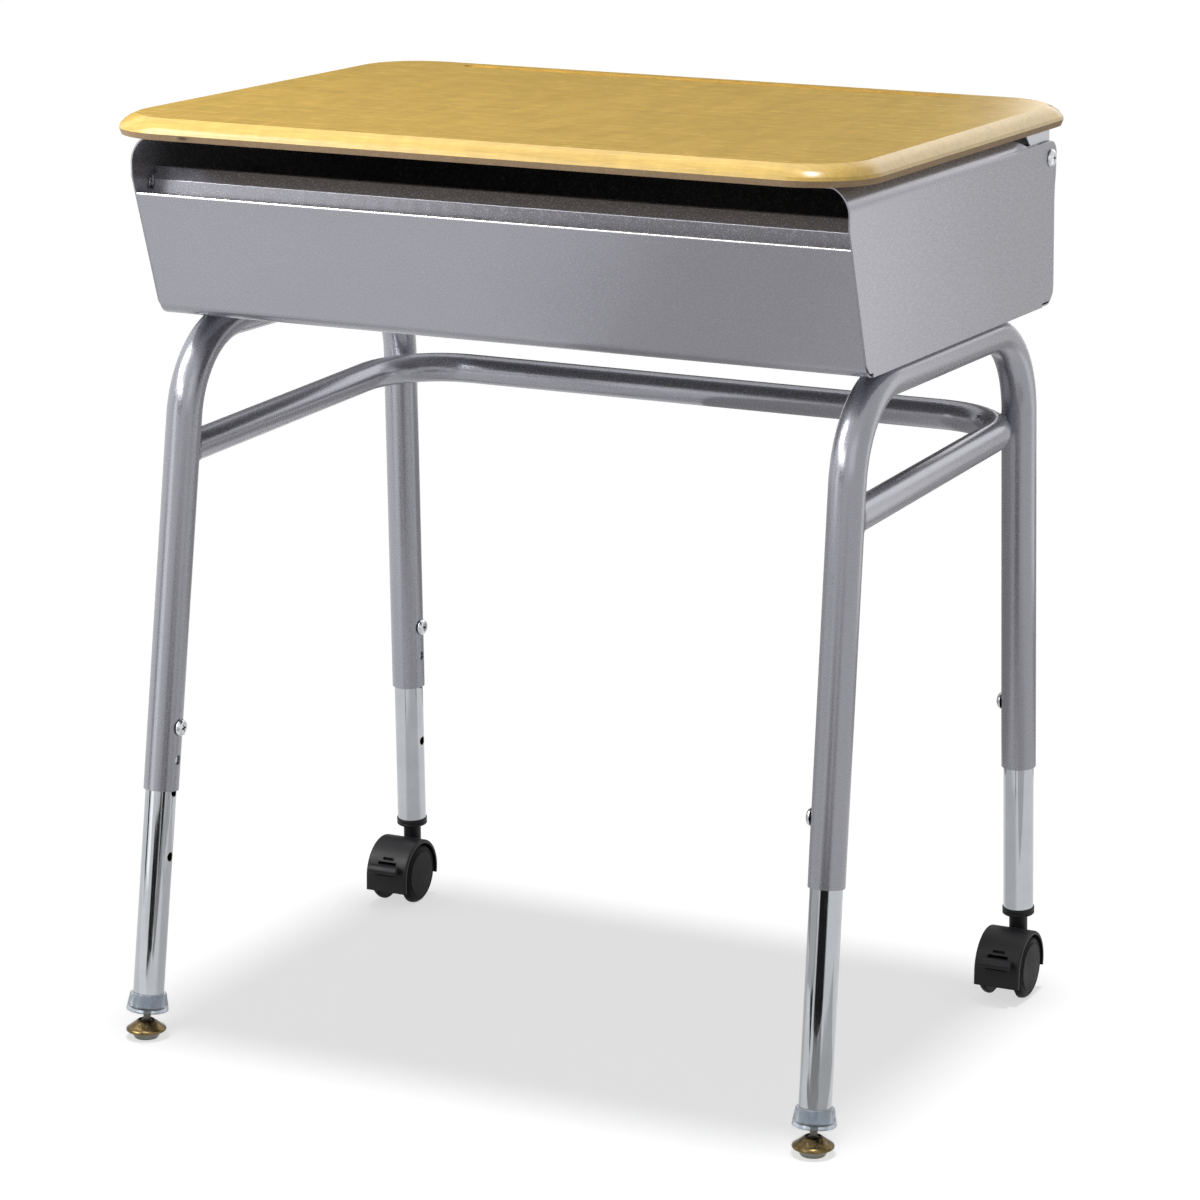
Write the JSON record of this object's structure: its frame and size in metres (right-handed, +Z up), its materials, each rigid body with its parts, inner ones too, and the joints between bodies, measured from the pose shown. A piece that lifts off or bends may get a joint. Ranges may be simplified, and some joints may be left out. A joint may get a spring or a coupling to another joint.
{
  "type": "school desk with lift lid",
  "caption": "School desk with a lift-up lid over a sheet-steel book box, on adjustable bent-tube legs with front glides and rear casters.",
  "frame": {"origin": "on the floor, under the middle of the lid", "axes": "+X to the sitter's right, +Y from the sitter to the back of the desk, +Z up"},
  "size_m": [0.6096, 0.4572, 0.7176],
  "materials": {
    "particleboard": "bare edge of the board",
    "laminate": "maple pattern, satin",
    "backer_paper": "brown phenolic backing sheet",
    "powder_coat": "metallic silver grey powder coat, satin",
    "channel_coat": "light grey, satin",
    "zinc": "zinc plated",
    "nylon": "grey-white nylon",
    "bumper_rubber": "matt",
    "chrome": "bright",
    "clear_plastic": "clear bluish, smooth",
    "dark_steel": "dark",
    "antique_brass": "aged",
    "black_plastic": "fine moulded grain",
    "wheel_plastic": "smooth"
  },
  "bodies": {
    "frame": {"side_frame_left": "powder_coat", "side_frame_right": "powder_coat", "stretcher": "powder_coat", "box_shell": "powder_coat", "side_panel_left": "powder_coat", "side_panel_right": "powder_coat", "pencil_trough": "powder_coat", "pivot_screws": "zinc", "pivot_nuts": "zinc", "lid_bumpers": "bumper_rubber", "leg_screws": "zinc"},
    "lid": {"lid_core": "particleboard", "lid_face": "laminate", "lid_backer": "backer_paper", "hinge_channel": "channel_coat", "hinge_screws": "zinc", "pivot_bushings": "nylon"},
    "insert_front_left": {"leg_insert_front_left": "chrome", "glide_cup_left": "clear_plastic"},
    "insert_rear_left": {"leg_insert_rear_left": "chrome", "caster_socket_left": "black_plastic"},
    "glide_post_left": {"glide_stem_left": "dark_steel"},
    "glide_foot_left": {"glide_cap_left": "antique_brass", "glide_base_left": "nylon"},
    "caster_left": {"caster_stem_left": "zinc", "caster_hood_left": "black_plastic", "caster_axle_left": "zinc"},
    "wheel_outer_left": {"caster_wheel_outer_left": "wheel_plastic"},
    "wheel_inner_left": {"caster_wheel_inner_left": "wheel_plastic"},
    "brake_left": {"brake_lever_left": "black_plastic"},
    "insert_front_right": {"leg_insert_front_right": "chrome", "glide_cup_right": "clear_plastic"},
    "insert_rear_right": {"leg_insert_rear_right": "chrome", "caster_socket_right": "black_plastic"},
    "glide_post_right": {"glide_stem_right": "dark_steel"},
    "glide_foot_right": {"glide_cap_right": "antique_brass", "glide_base_right": "nylon"},
    "caster_right": {"caster_stem_right": "zinc", "caster_hood_right": "black_plastic", "caster_axle_right": "zinc"},
    "wheel_outer_right": {"caster_wheel_outer_right": "wheel_plastic"},
    "wheel_inner_right": {"caster_wheel_inner_right": "wheel_plastic"},
    "brake_right": {"brake_lever_right": "black_plastic"}
  },
  "joints": [
    {"name": "lid_hinge", "type": "hinge", "parent": "frame", "child": "lid", "pos_m": [0, 0.1976, 0.6756], "axis": [-1, 0, 0], "range_deg": [0, 95]},
    {"name": "leg_slide_front_left", "type": "slide", "parent": "frame", "child": "insert_front_left", "axis": [-0.0163, -0.118, -0.9929], "range_m": [-0.1016, 0.0508]},
    {"name": "leg_slide_rear_left", "type": "slide", "parent": "frame", "child": "insert_rear_left", "axis": [-0.0077, 0.0594, -0.9982], "range_m": [-0.1016, 0.0508]},
    {"name": "glide_spin_left", "type": "hinge", "parent": "insert_front_left", "child": "glide_post_left", "pos_m": [-0.28183, -0.21033, 0.007], "axis": [0.0163, 0.118, 0.9929], "continuous": true},
    {"name": "glide_tilt_left", "type": "hinge", "parent": "glide_post_left", "child": "glide_foot_left", "pos_m": [-0.28183, -0.21033, 0.007], "axis": [1, 0, 0], "range_deg": [-8, 8]},
    {"name": "caster_swivel_left", "type": "hinge", "parent": "insert_rear_left", "child": "caster_left", "pos_m": [-0.27709, 0.21352, 0.0693], "axis": [0.0077, -0.0594, 0.9982], "continuous": true},
    {"name": "wheel_roll_outer_left", "type": "hinge", "parent": "caster_left", "child": "wheel_outer_left", "pos_m": [-0.2773, 0.1958, 0.0254], "axis": [1, 0, 0], "continuous": true},
    {"name": "wheel_roll_inner_left", "type": "hinge", "parent": "caster_left", "child": "wheel_inner_left", "pos_m": [-0.2773, 0.1958, 0.0254], "axis": [1, 0, 0], "continuous": true},
    {"name": "brake_press_left", "type": "hinge", "parent": "caster_left", "child": "brake_left", "pos_m": [-0.2773, 0.1778, 0.0344], "axis": [1, 0, 0], "range_deg": [0, 8]},
    {"name": "leg_slide_front_right", "type": "slide", "parent": "frame", "child": "insert_front_right", "axis": [0.0163, -0.118, -0.9929], "range_m": [-0.1016, 0.0508]},
    {"name": "leg_slide_rear_right", "type": "slide", "parent": "frame", "child": "insert_rear_right", "axis": [0.0077, 0.0594, -0.9982], "range_m": [-0.1016, 0.0508]},
    {"name": "glide_spin_right", "type": "hinge", "parent": "insert_front_right", "child": "glide_post_right", "pos_m": [0.28183, -0.21033, 0.007], "axis": [-0.0163, 0.118, 0.9929], "continuous": true},
    {"name": "glide_tilt_right", "type": "hinge", "parent": "glide_post_right", "child": "glide_foot_right", "pos_m": [0.28183, -0.21033, 0.007], "axis": [1, 0, 0], "range_deg": [-8, 8]},
    {"name": "caster_swivel_right", "type": "hinge", "parent": "insert_rear_right", "child": "caster_right", "pos_m": [0.27709, 0.21352, 0.0693], "axis": [-0.0077, -0.0594, 0.9982], "continuous": true},
    {"name": "wheel_roll_outer_right", "type": "hinge", "parent": "caster_right", "child": "wheel_outer_right", "pos_m": [0.2773, 0.1958, 0.0254], "axis": [1, 0, 0], "continuous": true},
    {"name": "wheel_roll_inner_right", "type": "hinge", "parent": "caster_right", "child": "wheel_inner_right", "pos_m": [0.2773, 0.1958, 0.0254], "axis": [1, 0, 0], "continuous": true},
    {"name": "brake_press_right", "type": "hinge", "parent": "caster_right", "child": "brake_right", "pos_m": [0.2773, 0.1778, 0.0344], "axis": [1, 0, 0], "range_deg": [0, 8]}
  ]
}
